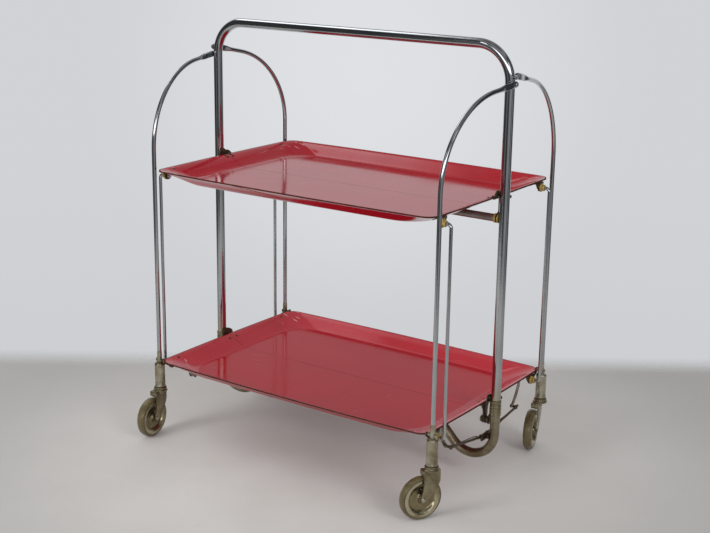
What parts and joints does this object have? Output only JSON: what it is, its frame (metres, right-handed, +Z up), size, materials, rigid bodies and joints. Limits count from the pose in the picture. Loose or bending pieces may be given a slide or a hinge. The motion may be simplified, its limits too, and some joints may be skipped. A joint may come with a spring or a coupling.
{
  "type": "folding serving trolley",
  "caption": "Folding serving trolley: tiered rimmed trays between chromed uprights and arched leg rods on swivel casters, with a loop handle and a lift-to-fold linkage.",
  "frame": {"origin": "on the floor under the centre of the open trolley, midway between the uprights", "axes": "+X along the trays and the handle, -Y the front side, +Z up"},
  "size_m": [0.651, 0.4822, 0.77],
  "materials": {
    "chrome": "polished chrome plate, lightly worn",
    "red_laminate": "glossy red laminate with fine scratches",
    "yellow_bush": "yellowed bush",
    "tyre": "hard olive-brown rubber, worn",
    "wheel_disc": "tarnished brass-toned pressed disc",
    "tarnished_nickel": "nickel plate, tarnished olive-brown",
    "dark_bronze": "dark bronzed steel"
  },
  "bodies": {
    "frame": {"handle_frame": "chrome", "base_bow": "tarnished_nickel", "frame_ferrules": "tarnished_nickel", "stay_brackets": "dark_bronze"},
    "upper_runner": {"grab_bar": "dark_bronze", "grab_bar_bushes": "yellow_bush", "upper_sliders": "dark_bronze"},
    "lower_runner": {"lower_sliders": "dark_bronze", "lower_hinge_pins": "tarnished_nickel"},
    "upper_front": {"upper_tray_front": "red_laminate", "upper_front_fittings": "dark_bronze", "upper_front_bushes": "yellow_bush"},
    "lower_front": {"lower_tray_front": "red_laminate", "lower_front_fittings": "dark_bronze", "lower_front_bushes": "yellow_bush", "front_leg_pins": "tarnished_nickel", "front_stay_arms": "dark_bronze"},
    "front_legs": {"front_leg_left": "chrome", "front_leg_right": "chrome", "front_leg_ferrules": "tarnished_nickel", "front_caster_sockets": "tarnished_nickel"},
    "front_links": {"front_link_left": "chrome", "front_link_right": "chrome"},
    "front_stays": {"front_stay_links": "dark_bronze"},
    "upper_rear": {"upper_tray_rear": "red_laminate", "upper_rear_fittings": "dark_bronze", "upper_rear_bushes": "yellow_bush"},
    "lower_rear": {"lower_tray_rear": "red_laminate", "lower_rear_fittings": "dark_bronze", "lower_rear_bushes": "yellow_bush", "rear_leg_pins": "tarnished_nickel", "rear_stay_arms": "dark_bronze"},
    "rear_legs": {"rear_leg_left": "chrome", "rear_leg_right": "chrome", "rear_leg_ferrules": "tarnished_nickel", "rear_caster_sockets": "tarnished_nickel"},
    "rear_links": {"rear_link_left": "chrome", "rear_link_right": "chrome"},
    "rear_stays": {"rear_stay_links": "dark_bronze"},
    "caster_front_left": {"fork_front_left": "tarnished_nickel", "axle_front_left": "tarnished_nickel"},
    "wheel_front_left": {"disc_front_left": "wheel_disc", "tyre_front_left": "tyre"},
    "caster_front_right": {"fork_front_right": "tarnished_nickel", "axle_front_right": "tarnished_nickel"},
    "wheel_front_right": {"disc_front_right": "wheel_disc", "tyre_front_right": "tyre"},
    "caster_rear_left": {"fork_rear_left": "tarnished_nickel", "axle_rear_left": "tarnished_nickel"},
    "wheel_rear_left": {"disc_rear_left": "wheel_disc", "tyre_rear_left": "tyre"},
    "caster_rear_right": {"fork_rear_right": "tarnished_nickel", "axle_rear_right": "tarnished_nickel"},
    "wheel_rear_right": {"disc_rear_right": "wheel_disc", "tyre_rear_right": "tyre"}
  },
  "joints": [
    {"name": "fold_slide", "type": "slide", "parent": "frame", "child": "upper_runner", "axis": [0, 0, 1], "range_m": [0, 0.189]},
    {"name": "lower_slide", "type": "slide", "parent": "frame", "child": "lower_runner", "axis": [0, 0, 1], "range_m": [0, 0.189]},
    {"name": "upper_front_hinge", "type": "hinge", "parent": "upper_runner", "child": "upper_front", "pos_m": [0, 0, 0.475], "axis": [1, 0, 0], "range_deg": [0, 80]},
    {"name": "upper_rear_hinge", "type": "hinge", "parent": "upper_runner", "child": "upper_rear", "pos_m": [0, 0, 0.475], "axis": [-1, 0, 0], "range_deg": [0, 80]},
    {"name": "lower_front_hinge", "type": "hinge", "parent": "lower_runner", "child": "lower_front", "pos_m": [0, 0, 0.114], "axis": [1, 0, 0], "range_deg": [0, 80]},
    {"name": "lower_rear_hinge", "type": "hinge", "parent": "lower_runner", "child": "lower_rear", "pos_m": [0, 0, 0.114], "axis": [-1, 0, 0], "range_deg": [0, 80]},
    {"name": "front_leg_pivot", "type": "hinge", "parent": "lower_front", "child": "front_legs", "pos_m": [0, -0.19, 0.15], "axis": [-1, 0, 0], "range_deg": [0, 67.7]},
    {"name": "rear_leg_pivot", "type": "hinge", "parent": "lower_rear", "child": "rear_legs", "pos_m": [0, 0.19, 0.15], "axis": [1, 0, 0], "range_deg": [0, 67.97]},
    {"name": "front_link_pivot", "type": "hinge", "parent": "upper_front", "child": "front_links", "pos_m": [0, -0.1665, 0.498], "axis": [-1, 0, 0], "range_deg": [0, 80]},
    {"name": "rear_link_pivot", "type": "hinge", "parent": "upper_rear", "child": "rear_links", "pos_m": [0, 0.1665, 0.498], "axis": [1, 0, 0], "range_deg": [0, 80]},
    {"name": "front_stay_pivot", "type": "hinge", "parent": "frame", "child": "front_stays", "pos_m": [0, -0.011, 0.0842], "axis": [-1, 0, 0], "range_deg": [0, 84.02]},
    {"name": "rear_stay_pivot", "type": "hinge", "parent": "frame", "child": "rear_stays", "pos_m": [0, 0.011, 0.0842], "axis": [1, 0, 0], "range_deg": [0, 84.02]},
    {"name": "swivel_front_left", "type": "hinge", "parent": "front_legs", "child": "caster_front_left", "pos_m": [-0.3, -0.19, 0.098], "axis": [0, 0, 1], "continuous": true},
    {"name": "roll_front_left", "type": "hinge", "parent": "caster_front_left", "child": "wheel_front_left", "pos_m": [-0.31057, -0.20418, 0.0375], "axis": [0.9945, 0.1045, 0], "continuous": true},
    {"name": "swivel_front_right", "type": "hinge", "parent": "front_legs", "child": "caster_front_right", "pos_m": [0.3, -0.19, 0.098], "axis": [0, 0, 1], "continuous": true},
    {"name": "roll_front_right", "type": "hinge", "parent": "caster_front_right", "child": "wheel_front_right", "pos_m": [0.2832, -0.19555, 0.0375], "axis": [0.8746, -0.4848, 0], "continuous": true},
    {"name": "swivel_rear_left", "type": "hinge", "parent": "rear_legs", "child": "caster_rear_left", "pos_m": [-0.3, 0.19, 0.098], "axis": [0, 0, 1], "continuous": true},
    {"name": "roll_rear_left", "type": "hinge", "parent": "caster_rear_left", "child": "wheel_rear_left", "pos_m": [-0.288, 0.203, 0.0375], "axis": [-1, 0, 0], "continuous": true},
    {"name": "swivel_rear_right", "type": "hinge", "parent": "rear_legs", "child": "caster_rear_right", "pos_m": [0.3, 0.19, 0.098], "axis": [0, 0, 1], "continuous": true},
    {"name": "roll_rear_right", "type": "hinge", "parent": "caster_rear_right", "child": "wheel_rear_right", "pos_m": [0.29205, 0.1742, 0.0375], "axis": [0.9613, 0.2756, 0], "continuous": true}
  ],
  "couplings": [
    {"joint": "upper_front_hinge", "follows": "fold_slide", "rad_per_m": 7.3876},
    {"joint": "upper_rear_hinge", "follows": "fold_slide", "rad_per_m": 7.3876},
    {"joint": "lower_front_hinge", "follows": "fold_slide", "rad_per_m": 7.3876},
    {"joint": "lower_rear_hinge", "follows": "fold_slide", "rad_per_m": 7.3876},
    {"joint": "front_link_pivot", "follows": "fold_slide", "rad_per_m": 7.3876},
    {"joint": "rear_link_pivot", "follows": "fold_slide", "rad_per_m": 7.3876},
    {"joint": "front_leg_pivot", "follows": "fold_slide", "rad_per_m": 6.2515},
    {"joint": "rear_leg_pivot", "follows": "fold_slide", "rad_per_m": 6.2763},
    {"joint": "front_stay_pivot", "follows": "fold_slide", "rad_per_m": 7.7592},
    {"joint": "rear_stay_pivot", "follows": "fold_slide", "rad_per_m": 7.7592},
    {"joint": "lower_slide", "follows": "fold_slide", "ratio": 1}
  ]
}
